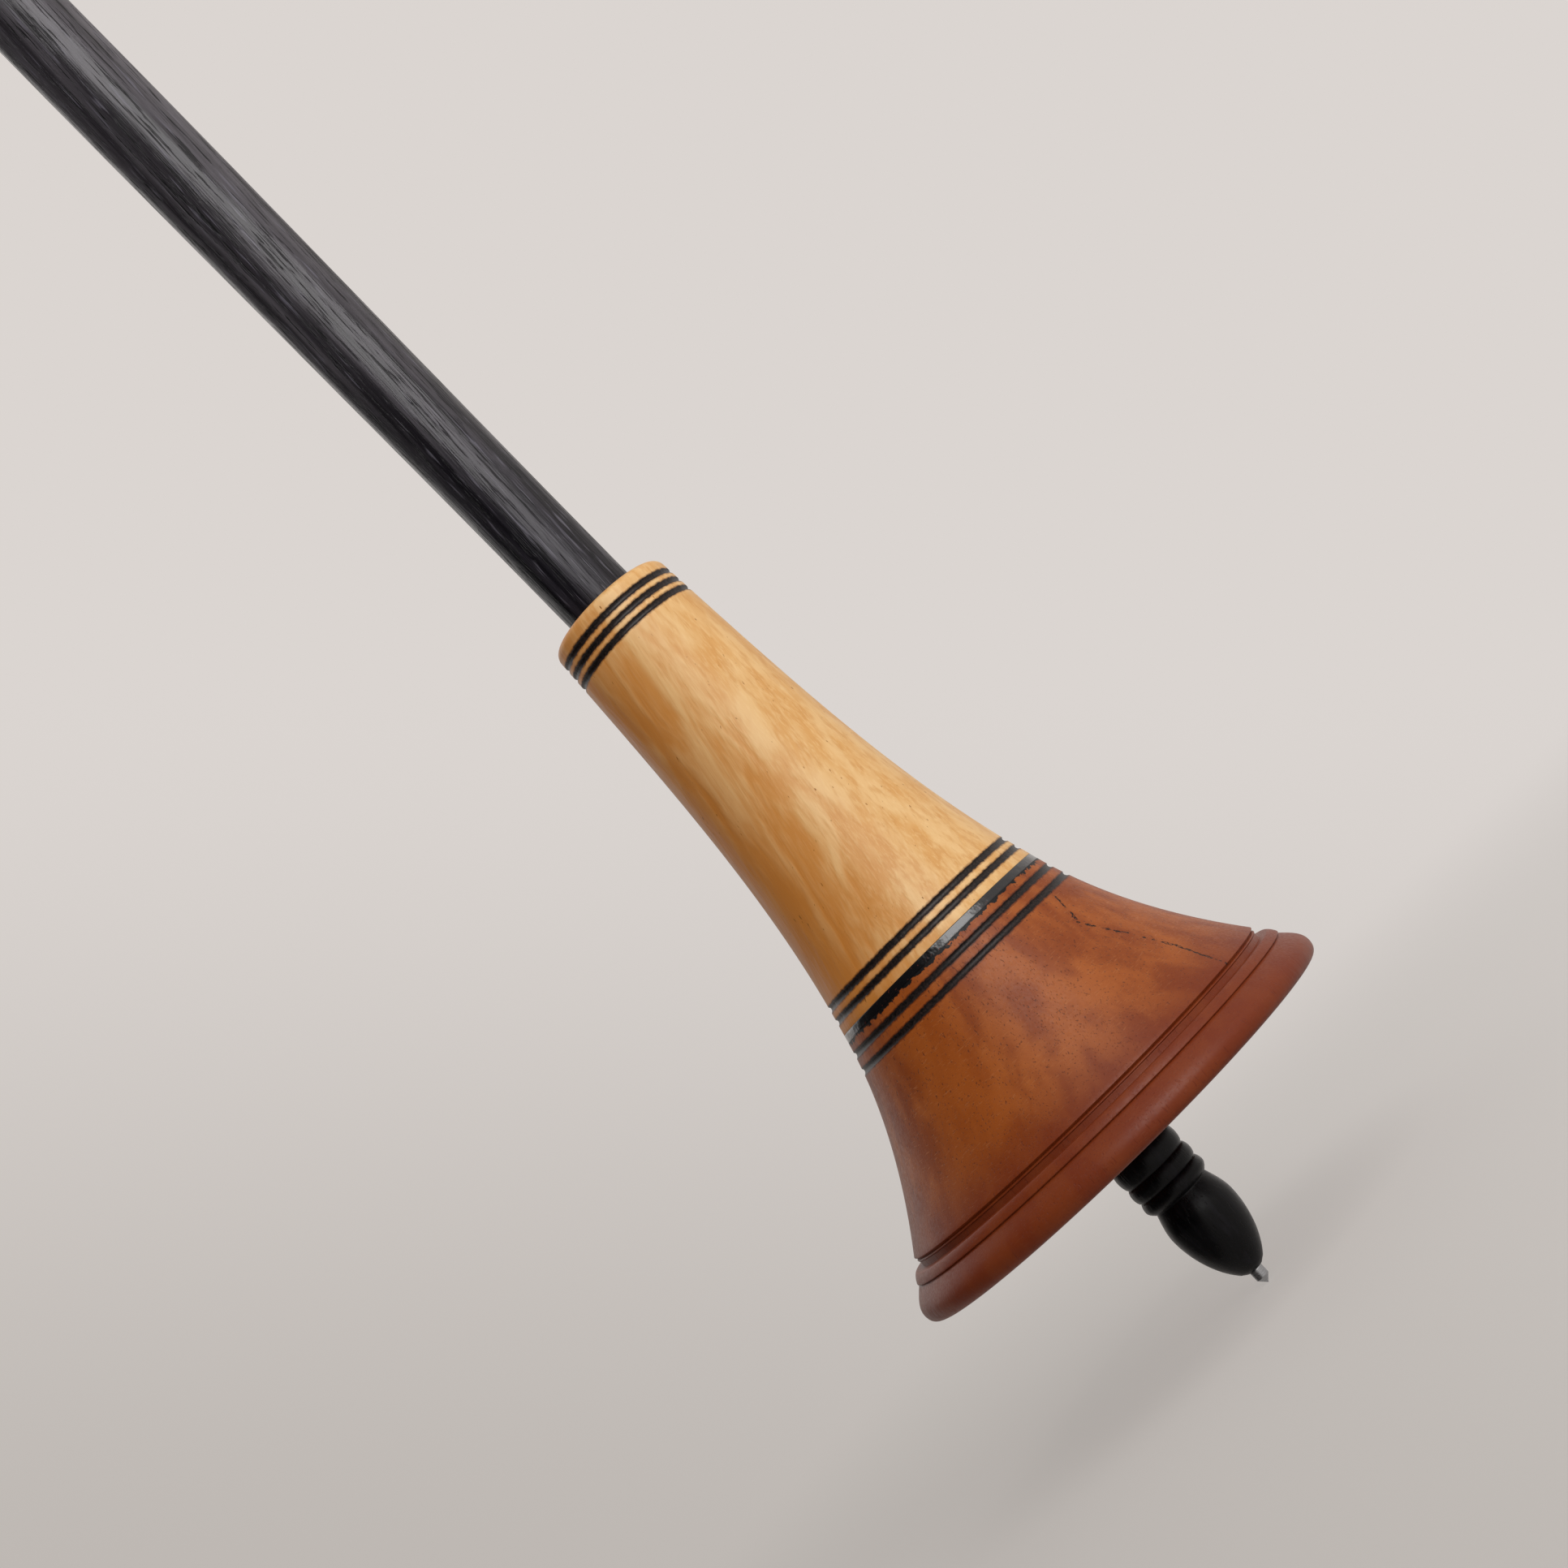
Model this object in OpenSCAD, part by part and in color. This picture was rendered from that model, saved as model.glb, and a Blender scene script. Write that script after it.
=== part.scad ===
// Support spindle: a bell-shaped whorl turned from two woods, on a dark oak shaft, with an ebony foot
// and a steel point. It turns about +Z. The tip of the steel point is the origin. Sizes are in mm.
// Each piece is turned or drilled on that one axis, and the pieces are glued with the gaps named below.

/* [Shaft] */
// Length of the whole spindle, from the steel tip to the top of the shaft
total_length = 300; // [240:1:360]
// Diameter of the shaft where it leaves the collar and all the way down inside the whorl
shaft_d = 7.8; // [6.6:0.1:8.4]
// Diameter of the shaft at its thickest, above the whorl
belly_d = 8.7; // [8.4:0.1:10]
// Height of the thickest place above the collar
belly_rise = 82; // [50:1:100]
// Diameter of the slim top end
shaft_tip_d = 3.6; // [2:0.1:5]
// How far below the neck's shoulder the shaft ends, inside the bell
shaft_bury = 14; // [9:0.5:16]

/* [Neck] */
// Height of the pale upper part of the whorl
neck_height = 45.6; // [35:0.1:60]
// Diameter of the collar at the top of the neck
collar_d = 13.7; // [11:0.1:16]
// Radius of the rounding round the collar's top
collar_round = 1; // [0.4:0.1:1.4]
// Diameter where the neck meets the joint band
joint_d = 24.6; // [20:0.1:30]
// Part of the neck's widening that comes in its lower curve and not in its straight taper, on the radius
neck_flare = 2.95; // [1:0.05:3.5]
// How quickly the lower curve sets in, where a higher number keeps the neck straight for longer
neck_flare_power = 3.5; // [2:0.1:5]
// Diameter of the spigot below the neck
spigot_d = 14; // [12:0.1:17]
// Length of the spigot below the neck's shoulder
spigot_length = 6; // [4:0.1:8]

/* [Joint band] */
// Height of the black band between the two woods
band_height = 0.8; // [0.4:0.1:2]

/* [Bell] */
// Height of the red lower part of the whorl
bell_height = 23.95; // [21:0.05:30]
// Diameter of the whorl over its rim
rim_d = 50; // [46:0.1:60]
// How far the rim stands out beyond the lip above it, on the radius
rim_projection = 2.98; // [2.6:0.02:4]
// Height of the lip above the underside of the rim
lip_height = 5.5; // [5:0.1:6.5]
// Part of the bell's widening that comes in its curve and not in its straight taper, on the radius
bell_flare = 4.9; // [2:0.1:7]
// Power of the bell's curve
bell_flare_power = 2; // [1.6:0.1:3]
// Depth of the hollow turned in the underside
dish_depth = 2.5; // [1:0.1:3.5]
// Width of the flat ring on the underside of the rim
land_width = 2; // [1:0.1:3]
// Diameter of the flat place that the foot is glued against
foot_seat_d = 10; // [9:0.1:12]

/* [Rim mouldings] */
// Height of the groove under the lip
lip_groove_height = 0.24; // [0.2:0.02:0.4]
// Depth of the groove under the lip
lip_groove_depth = 0.28; // [0.1:0.02:0.4]
// Height of the small bead below that groove
bead_height = 0.32; // [0.2:0.02:0.5]
// How far the small bead stays inside the lip
bead_set_back = 0.07; // [0:0.01:0.2]
// Height of the quirk, the narrow ledge below the small bead
quirk_height = 0.52; // [0.2:0.02:0.6]
// Depth of the quirk behind the small bead
quirk_depth = 0.08; // [0.02:0.01:0.2]
// How far the top of the fillet stands out beyond the small bead
fillet_step = 0.92; // [0.6:0.02:1]
// Height of the sloping fillet
fillet_height = 0.84; // [0.6:0.02:1.1]
// How far the sloping fillet widens over its height
fillet_slope = 0.64; // [0.5:0.01:0.8]
// Height of the scribed groove between the fillet and the fat rim
scribe_height = 0.24; // [0.1:0.01:0.3]
// Depth of the scribed groove
scribe_depth = 0.19; // [0.05:0.01:0.25]
// Height of the rim's widest place above its underside
rim_crest_height = 1.13; // [0.8:0.01:1.6]
// Width of the rounding between the rim's widest place and its underside
under_round = 0.95; // [0.6:0.05:1.6]

/* [Burnt lines] */
// Width of a burnt line
burn_width = 0.62; // [0.4:0.02:0.8]
// Depth of a burnt line
burn_depth = 0.18; // [0.1:0.01:0.24]
// Number of burnt lines round the collar
collar_lines = 3; // [1:1:5]
// Distance of the first collar line below the top of the neck
collar_line_drop = 1.93; // [1.8:0.01:3]
// Distance between collar lines
collar_line_pitch = 1.22; // [0.9:0.01:1.6]
// Number of burnt lines round the foot of the neck
neck_lines = 2; // [1:1:4]
// Distance of the lowest neck line above the neck's shoulder
neck_line_rise = 1.31; // [0.8:0.01:2]
// Distance between the neck's lower lines
neck_line_pitch = 1.33; // [0.9:0.01:2]
// Number of burnt lines round the top of the bell
bell_lines = 2; // [1:1:4]
// Distance of the first bell line below the joint band
bell_line_drop = 1.28; // [0.8:0.01:2]
// Distance between the bell's lines
bell_line_pitch = 1.61; // [0.9:0.01:2]

/* [Foot] */
// How far the foot's wood reaches below the underside of the rim
foot_drop = 17.04; // [16:0.02:22]
// Diameter of the foot's beads
foot_bead_d = 7.32; // [7:0.02:8.4]
// Number of beads in the row
foot_beads = 3; // [1:1:4]
// Height of the top bead
top_bead_height = 2.2; // [1.6:0.02:3]
// Height of each of the other beads
foot_bead_height = 1.7; // [1.4:0.02:1.9]
// Depth of the notches above and between the beads
foot_notch_depth = 0.28; // [0.1:0.02:0.4]
// Diameter of the waist between the lowest bead and the bulb
waist_d = 6.16; // [5:0.02:6.6]
// Height of the waist above the foot's lower end
waist_rise = 9.6; // [8.6:0.02:10.6]
// Diameter of the acorn-shaped bulb
bulb_d = 7.42; // [6.8:0.02:9]
// Height of the bulb's widest place above the foot's lower end
bulb_rise = 6.8; // [5:0.02:7.6]
// Diameter of the foot's blunt lower end
foot_end_d = 1.8; // [1.6:0.02:2.4]
// Diameter of the bulb just above that end, where it turns in
foot_nose_d = 2.9; // [2.6:0.02:4]
// Height of that turn
foot_nose_height = 0.4; // [0.2:0.02:0.8]
// Diameter of the tenon that goes up into the bell
tenon_d = 6; // [4.4:0.1:6.4]

/* [Steel point] */
// Diameter of the steel head that shows
point_d = 1.4; // [1.2:0.02:1.44]
// Height of the head's straight part
point_head_height = 1.03; // [0.6:0.01:2]
// Height of the head's cone
point_cone_height = 0.73; // [0.5:0.01:1.4]
// Diameter of the shank inside the foot
shank_d = 1; // [0.6:0.02:1.1]
// Length of the shank inside the foot
shank_length = 9; // [5:0.1:12]

/* [Fits] */
// Glue gap round the shaft, the spigot and the tenon, on the radius
glue_gap = 0.05; // [0.02:0.01:0.12]
// Space left for glue at the end of the spigot and of the tenon
end_gap = 0.2; // [0.1:0.05:0.4]
// Gap round the steel shank in its hole, on the radius
shank_gap = 0.02; // [0.01:0.01:0.05]
// Space left above the end of the steel shank
shank_end_gap = 0.2; // [0.1:0.05:0.4]

/* [Hidden] */

$fn = 96;

// Heights above the steel tip
foot_end_z = point_cone_height + point_head_height;
underside_z = foot_end_z + foot_drop;
foot_seat_z = underside_z + dish_depth;
lip_z = underside_z + lip_height;
bell_top_z = underside_z + bell_height;
joint_z = bell_top_z + band_height;
collar_z = joint_z + neck_height;
shaft_end_z = joint_z - shaft_bury;
belly_z = collar_z + belly_rise;
tenon_top_z = shaft_end_z - end_gap;
waist_z = foot_end_z + waist_rise;
bulb_z = foot_end_z + bulb_rise;
nose_z = foot_end_z + foot_nose_height;

// Radii
shaft_r = shaft_d / 2;
belly_r = belly_d / 2;
shaft_tip_r = shaft_tip_d / 2;
collar_r = collar_d / 2;
joint_r = joint_d / 2;
spigot_r = spigot_d / 2;
rim_r = rim_d / 2;
lip_r = rim_r - rim_projection;
foot_seat_r = foot_seat_d / 2;
foot_bead_r = foot_bead_d / 2;
waist_r = waist_d / 2;
bulb_r = bulb_d / 2;
foot_end_r = foot_end_d / 2;
foot_nose_r = foot_nose_d / 2;
tenon_r = tenon_d / 2;
point_r = point_d / 2;
shank_r = shank_d / 2;

// Radius of the round wire that burns a line of the width and depth above
burn_wire_r = (pow(burn_width / 2, 2) + pow(burn_depth, 2)) / (2 * burn_depth);

// Length past a face by which a drill or cutter overshoots it
over = 1;

// Straight steps that stand for each curve of a profile
long_steps = 32;
short_steps = 10;
bead_steps = 4;

// How full a bead of the foot is, where a lower number makes it squarer
bead_fullness = 0.6;

// Points of a curve that leaves a towards b and arrives at d from c
function curve(a, b, c, d, steps) = [
    for (i = [0 : steps])
        let (t = i / steps, s = 1 - t)
            s * s * s * a + 3 * s * s * t * b + 3 * s * t * t * c + t * t * t * d
];

// The same list without its first point, for a profile that already ends there
function rest_of(points) = [for (i = [1 : len(points) - 1]) points[i]];

// Radius at share t of a widening that mixes a straight taper with a power curve
function flared_r(top, bottom, flare, power, t) = top + (bottom - top - flare) * t + flare * pow(t, power);

// Outer radius of the neck and of the bell at a height. The band lies on the bell's line.
function neck_r(z) =
    flared_r(collar_r, joint_r, neck_flare, neck_flare_power, (collar_z - z) / (collar_z - joint_z));
function bell_r(z) =
    flared_r(joint_r, lip_r, bell_flare, bell_flare_power, (joint_z - z) / (joint_z - lip_z));

// Point at the given shares of the way from a to b, across and up
function between(a, b, across, up) = [a[0] + (b[0] - a[0]) * across, a[1] + (b[1] - a[1]) * up];

// Radius of the shaft at share t of its rise from the collar to its thickest place
function swell_r(t) = shaft_r + (belly_r - shaft_r) * t * t * (3 - 2 * t);

// A ring-shaped cutter in the form of the round wire that burns a line
module burnt_line(z, r) {
    rotate_extrude()
        translate([r + burn_wire_r - burn_depth, z])
            circle(r = burn_wire_r, $fn = 32);
}

// A drill on the axis, between two heights
module drill(bottom_z, top_z, r) {
    translate([0, 0, bottom_z])
        cylinder(h = top_z - bottom_z, r = r);
}

module shaft() {
    belly = [belly_r, belly_z];
    slim_end = [shaft_tip_r, total_length - shaft_tip_r];
    swell = [
        for (i = [0 : long_steps])
            let (t = i / long_steps)
                [swell_r(t), collar_z + belly_rise * t]
    ];
    slim = curve(
        belly,
        between(belly, slim_end, 0, 0.35),
        between(belly, slim_end, 0.65, 0.7),
        slim_end,
        long_steps);
    round_end = [
        for (i = [1 : short_steps])
            let (a = 90 * i / short_steps)
                [slim_end[0] * cos(a), slim_end[1] + shaft_tip_r * sin(a)]
    ];
    color("#2c2b31")
        rotate_extrude()
            polygon(concat(
                [[0, shaft_end_z], [shaft_r, shaft_end_z]],
                swell,
                rest_of(slim),
                round_end));
}

module neck() {
    collar_edge_z = collar_z - collar_round;
    outside = [
        for (i = [0 : long_steps])
            let (z = collar_edge_z + (joint_z - collar_edge_z) * i / long_steps)
                [neck_r(z), z]
    ];
    edge_r = neck_r(collar_edge_z);
    rounding = [
        for (i = [0 : short_steps - 1])
            let (a = 90 - 90 * i / short_steps)
                [edge_r - collar_round * (1 - cos(a)), collar_edge_z + collar_round * sin(a)]
    ];
    color("#d6a256")
        difference() {
            union() {
                rotate_extrude()
                    polygon(concat([[0, collar_z]], rounding, outside, [[0, joint_z]]));
                drill(joint_z - spigot_length, joint_z + over, spigot_r);
            }
            drill(joint_z - spigot_length - over, collar_z + over, shaft_r + glue_gap);
            for (i = [0 : collar_lines - 1]) {
                z = collar_z - collar_line_drop - i * collar_line_pitch;
                burnt_line(z, neck_r(z));
            }
            for (i = [0 : neck_lines - 1]) {
                z = joint_z + neck_line_rise + i * neck_line_pitch;
                burnt_line(z, neck_r(z));
            }
        }
}

module joint_band() {
    color("#0d0d10")
        difference() {
            rotate_extrude()
                polygon([
                    [0, bell_top_z],
                    [bell_r(bell_top_z), bell_top_z],
                    [joint_r, joint_z],
                    [0, joint_z]
                ]);
            drill(bell_top_z - over, joint_z + over, spigot_r + glue_gap);
        }
}

module bell() {
    groove_z = lip_z - lip_groove_height;
    bead_z = groove_z - bead_height;
    quirk_z = bead_z - quirk_height;
    fillet_z = quirk_z - fillet_height;
    bead_r = lip_r - bead_set_back;
    land_r = rim_r - under_round;
    fillet_top = [bead_r + fillet_step, quirk_z];
    fillet_end = [bead_r + fillet_step + fillet_slope, fillet_z];
    rim_top = [fillet_end[0], fillet_z - scribe_height];
    crest = [rim_r, underside_z + rim_crest_height];
    land = [land_r, underside_z];
    dish_edge = [land_r - land_width, underside_z];
    foot_seat = [foot_seat_r, foot_seat_z];
    outside = [
        for (i = [0 : long_steps])
            let (z = bell_top_z + (lip_z - bell_top_z) * i / long_steps)
                [bell_r(z), z]
    ];
    lip_groove = [
        [lip_r - lip_groove_depth, groove_z]
    ];
    bead = [
        for (i = [1 : bead_steps])
            let (t = i / (bead_steps + 1))
                [bead_r - bead_height / 2 * (1 - sin(180 * t)), groove_z - bead_height * t]
    ];
    quirk = [
        [bead_r - quirk_depth, bead_z]
    ];
    fillet = curve(
        fillet_top,
        between(fillet_top, fillet_end, 0.45, 0.25),
        between(fillet_top, fillet_end, 0.8, 0.65),
        fillet_end,
        short_steps);
    scribe = [
        [fillet_end[0] - scribe_depth, fillet_z - scribe_height / 2]
    ];
    rim_upper = curve(
        rim_top,
        between(rim_top, crest, 0.55, 0.36),
        between(rim_top, crest, 1, 0.63),
        crest,
        short_steps);
    rim_lower = curve(
        crest,
        between(crest, land, 0, 0.63),
        between(crest, land, 0.34, 1),
        land,
        short_steps);
    dish = curve(
        dish_edge,
        between(dish_edge, foot_seat, 0.2, 0.36),
        between(dish_edge, foot_seat, 0.55, 1),
        foot_seat,
        short_steps);
    color("#8e4a2b")
        difference() {
            rotate_extrude()
                polygon(concat(
                    [[0, bell_top_z]],
                    outside,
                    lip_groove,
                    bead,
                    quirk,
                    fillet,
                    scribe,
                    rim_upper,
                    rest_of(rim_lower),
                    dish,
                    [[0, foot_seat_z]]));
            drill(joint_z - spigot_length - end_gap, bell_top_z + over, spigot_r + glue_gap);
            drill(shaft_end_z, bell_top_z + over, shaft_r + glue_gap);
            drill(underside_z - over, bell_top_z + over, tenon_r + glue_gap);
            for (i = [0 : bell_lines - 1]) {
                z = bell_top_z - bell_line_drop - i * bell_line_pitch;
                burnt_line(z, bell_r(z));
            }
        }
}

// Points of one bead of the foot, from its top notch down to share end of its height
function bead_bulge(top_z, height, end) = [
    for (i = [0 : short_steps - 1])
        let (t = end * i / short_steps)
            [foot_bead_r - foot_notch_depth * (1 - pow(sin(180 * t), bead_fullness)), top_z - height * t]
];

module foot() {
    lowest_bead_z = waist_z + foot_bead_height;
    beads_top_z = lowest_bead_z + (foot_beads - 2) * foot_bead_height + top_bead_height;
    lowest_belly = [foot_bead_r, lowest_bead_z - foot_bead_height / 2];
    waist = [waist_r, waist_z];
    bulb = [bulb_r, bulb_z];
    nose = [foot_nose_r, nose_z];
    shoulder = [
        [0, tenon_top_z],
        [tenon_r, tenon_top_z],
        [tenon_r, foot_seat_z],
        [foot_bead_r, foot_seat_z],
        [foot_bead_r, beads_top_z + foot_notch_depth]
    ];
    top_bead = foot_beads > 1 ? bead_bulge(beads_top_z, top_bead_height, 1) : [];
    middle_beads = [
        for (k = [1 : 1 : foot_beads - 2])
            each bead_bulge(lowest_bead_z + (foot_beads - 1 - k) * foot_bead_height, foot_bead_height, 1)
    ];
    lowest_bead = concat(
        bead_bulge(lowest_bead_z, foot_bead_height, 0.5),
        curve(
            lowest_belly,
            between(lowest_belly, waist, 0, 0.4),
            between(lowest_belly, waist, 0.6, 0.76),
            waist,
            short_steps));
    bulb_upper = curve(
        waist,
        between(waist, bulb, 0.42, 0.3),
        between(waist, bulb, 1, 0.64),
        bulb,
        short_steps);
    bulb_lower = curve(
        bulb,
        between(bulb, nose, 0, 0.35),
        between(bulb, nose, 0.36, 0.75),
        nose,
        long_steps);
    color("#151419")
        difference() {
            rotate_extrude()
                polygon(concat(
                    shoulder,
                    top_bead,
                    middle_beads,
                    lowest_bead,
                    rest_of(bulb_upper),
                    rest_of(bulb_lower),
                    [[foot_end_r, foot_end_z], [0, foot_end_z]]));
            drill(foot_end_z - over, foot_end_z + shank_length + shank_end_gap, shank_r + shank_gap);
        }
}

module steel_point() {
    color("#a6a8ac")
        rotate_extrude()
            polygon([
                [0, 0],
                [point_r, point_cone_height],
                [point_r, foot_end_z],
                [shank_r, foot_end_z],
                [shank_r, foot_end_z + shank_length],
                [0, foot_end_z + shank_length]
            ]);
}

shaft();
neck();
joint_band();
bell();
foot();
steel_point();
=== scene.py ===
"""A support spindle: six turned pieces with their finishes, on a plain pale floor in soft light."""
import math

import bpy
from mathutils import Matrix, Vector


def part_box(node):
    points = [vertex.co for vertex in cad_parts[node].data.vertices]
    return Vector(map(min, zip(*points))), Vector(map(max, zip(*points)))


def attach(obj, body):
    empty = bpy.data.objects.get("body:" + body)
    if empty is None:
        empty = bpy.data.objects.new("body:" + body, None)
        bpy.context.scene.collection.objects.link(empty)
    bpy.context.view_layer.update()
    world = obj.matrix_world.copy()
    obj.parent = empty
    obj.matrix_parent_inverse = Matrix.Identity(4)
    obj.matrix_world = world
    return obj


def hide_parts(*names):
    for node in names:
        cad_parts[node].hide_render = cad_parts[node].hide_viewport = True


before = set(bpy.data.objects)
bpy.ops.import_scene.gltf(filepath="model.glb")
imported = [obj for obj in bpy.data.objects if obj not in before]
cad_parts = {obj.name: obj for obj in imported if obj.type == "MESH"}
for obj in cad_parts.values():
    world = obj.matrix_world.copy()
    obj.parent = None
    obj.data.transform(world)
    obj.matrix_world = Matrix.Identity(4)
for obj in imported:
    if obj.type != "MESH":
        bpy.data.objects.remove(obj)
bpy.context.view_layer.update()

# Lengths below are in millimetres unless a name says otherwise. Meshes are built in metres.
MM = 0.001


def lowest(node):
    """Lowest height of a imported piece, in millimetres."""
    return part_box(node)[0].z / MM


def highest(node):
    """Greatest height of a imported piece, in millimetres."""
    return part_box(node)[1].z / MM


def widest(node):
    """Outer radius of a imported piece, in millimetres."""
    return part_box(node)[1].x / MM


# Heights above the steel tip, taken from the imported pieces
SHAFT_END = lowest("shaft")
SHAFT_TOP = highest("shaft")
COLLAR_TOP = highest("neck")
SPIGOT_END = lowest("neck")
JOINT_TOP = highest("joint_band")
BELL_TOP = highest("bell")
UNDERSIDE = lowest("bell")
FOOT_END = lowest("foot")
TENON_TOP = highest("foot")
SHANK_TOP = highest("steel_point")

# Radii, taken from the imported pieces
BELLY_R = widest("shaft")
JOINT_R = widest("neck")
RIM_R = widest("bell")
BULB_R = widest("foot")
POINT_R = widest("steel_point")

# The shaft
SHAFT_R = 3.9
BELLY_RISE = 82
SHAFT_TIP_R = 1.8

# The neck
COLLAR_R = 6.85
COLLAR_ROUND = 1
NECK_FLARE = 2.95
NECK_FLARE_POWER = 3.5
SPIGOT_R = 7

# The bell and its mouldings
LIP_R = RIM_R - 2.98
LIP = UNDERSIDE + 5.5
BELL_FLARE = 4.9
DISH_DEPTH = 2.5
LAND_WIDTH = 2
FOOT_SEAT_R = 5
LIP_GROOVE_HEIGHT = 0.24
LIP_GROOVE_DEPTH = 0.28
BEAD_HEIGHT = 0.32
BEAD_SET_BACK = 0.07
QUIRK_HEIGHT = 0.52
QUIRK_DEPTH = 0.08
FILLET_STEP = 0.92
FILLET_HEIGHT = 0.84
FILLET_SLOPE = 0.64
SCRIBE_HEIGHT = 0.24
SCRIBE_DEPTH = 0.19
RIM_CREST = UNDERSIDE + 1.13
UNDER_ROUND = 0.95
FOOT_SEAT = UNDERSIDE + DISH_DEPTH

# The burnt lines
BURN_WIDTH = 0.62
BURN_DEPTH = 0.18
COLLAR_LINES = [COLLAR_TOP - 1.93 - 1.22 * i for i in range(3)]
NECK_LINES = [JOINT_TOP + 1.31 + 1.33 * i for i in range(2)]
BELL_LINES = [BELL_TOP - 1.28 - 1.61 * i for i in range(2)]

# The foot
FOOT_BEAD_R = 3.66
TOP_BEAD_HEIGHT = 2.2
FOOT_BEAD_HEIGHT = 1.7
NOTCH_DEPTH = 0.28
BEAD_FULLNESS = 0.6
WAIST_R = 3.08
WAIST = FOOT_END + 9.6
BULB = FOOT_END + 6.8
FOOT_END_R = 0.9
NOSE_R = 1.45
NOSE = FOOT_END + 0.4
TENON_R = 3

# The steel point
CONE_HEIGHT = 0.73
SHANK_R = 0.5
TIP_BLUNTING = 0.06

# Fits
GLUE_GAP = 0.05
END_GAP = 0.2
SHANK_GAP = 0.02

# How far sandpaper has eased a sharp turned edge
EASED_EDGE = 0.05
# Corners that turn by more than this are eased
SHARP_TURN = math.radians(24)
# Points closer than this are one point
WELD = 0.002
# Faces round each piece
SHAFT_FACETS = 96
NECK_FACETS = 192
BELL_FACETS = 288
FOOT_FACETS = 128
POINT_FACETS = 64


def curve(a, b, c, d, steps):
    """Points after a on the curve that leaves a towards b and arrives at d from c."""
    points = []
    for i in range(1, steps + 1):
        t = i / steps
        s = 1 - t
        weights = (s ** 3, 3 * s * s * t, 3 * s * t * t, t ** 3)
        points.append(tuple(sum(w * p[k] for w, p in zip(weights, (a, b, c, d))) for k in (0, 1)))
    return points


def between(a, b, across, up):
    """The point at these shares of the way from a to b, sideways and in height."""
    return (a[0] + (b[0] - a[0]) * across, a[1] + (b[1] - a[1]) * up)


def flared(top, bottom, flare, power, t):
    """Radius at share t of a widening that mixes a straight taper with a power curve."""
    return top + (bottom - top - flare) * t + flare * t ** power


def neck_radius(z):
    t = (COLLAR_TOP - z) / (COLLAR_TOP - JOINT_TOP)
    return flared(COLLAR_R, JOINT_R, NECK_FLARE, NECK_FLARE_POWER, t)


def bell_radius(z):
    return flared(JOINT_R, LIP_R, BELL_FLARE, 2, (JOINT_TOP - z) / (JOINT_TOP - LIP))


def steps_between(start, end, length):
    """Evenly spaced values from start to end, both included, about this far apart."""
    count = max(1, round(abs(end - start) / length))
    return [start + (end - start) * i / count for i in range(count + 1)]


def burnt_outline(radius_at, top, bottom, lines):
    """Points down a turned surface in which a hot wire has left a round-bottomed groove at each line."""
    half = BURN_WIDTH / 2
    wire_r = (half ** 2 + BURN_DEPTH ** 2) / (2 * BURN_DEPTH)
    points = [
        (radius_at(z), z)
        for z in steps_between(top, bottom, 0.4)
        if all(abs(z - line) > half + 0.1 for line in lines)
    ]
    for line in lines:
        for across in steps_between(-half, half, BURN_WIDTH / 10):
            depth = math.sqrt(wire_r ** 2 - across ** 2) - wire_r + BURN_DEPTH
            points.append((radius_at(line + across) - depth, line + across))
    return sorted(points, key=lambda point: -point[1])


def eased(outline):
    """The same outline with its sharp corners rounded a little, as sandpaper leaves them."""
    points = [outline[0]]
    for before, corner, after in zip(outline, outline[1:], outline[2:]):
        before, corner, after = Vector(before), Vector(corner), Vector(after)
        back, on = before - corner, after - corner
        turn = math.pi - back.angle(on)
        if turn < SHARP_TURN:
            points.append(tuple(corner))
            continue
        reach = min(EASED_EDGE, back.length * 0.4, on.length * 0.4)
        first = corner + back.normalized() * reach
        last = corner + on.normalized() * reach
        middle = (first + last + 2 * corner) / 4
        points += [tuple(first), tuple(middle), tuple(last)]
    points.append(outline[-1])
    return points


def turned(name, outline, facets, closed=False):
    """Draws one side of a turned piece from point to point, and spins it round the spindle's axis."""
    outline = eased(outline + outline[:1] if closed else outline)
    bpy.ops.object.select_all(action="DESELECT")
    bpy.ops.mesh.primitive_plane_add(size=MM)
    piece = bpy.context.object
    piece.name = name
    piece.data.name = name
    bpy.ops.object.mode_set(mode="EDIT")
    bpy.ops.mesh.select_all(action="SELECT")
    bpy.ops.mesh.merge(type="CENTER")
    r, z = outline[0]
    bpy.ops.transform.translate(value=(r * MM, 0, z * MM))
    for (r, z), (next_r, next_z) in zip(outline, outline[1:]):
        step = ((next_r - r) * MM, 0, (next_z - z) * MM)
        bpy.ops.mesh.extrude_region_move(TRANSFORM_OT_translate={"value": step})
    bpy.ops.mesh.select_all(action="SELECT")
    bpy.ops.mesh.spin(steps=facets, angle=math.tau, center=(0, 0, 0), axis=(0, 0, 1))
    bpy.ops.mesh.select_all(action="SELECT")
    bpy.ops.mesh.remove_doubles(threshold=WELD * MM)
    bpy.ops.mesh.normals_make_consistent(inside=False)
    bpy.ops.object.mode_set(mode="OBJECT")
    bpy.ops.object.shade_smooth_by_angle(angle=math.radians(50))
    return piece


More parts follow.
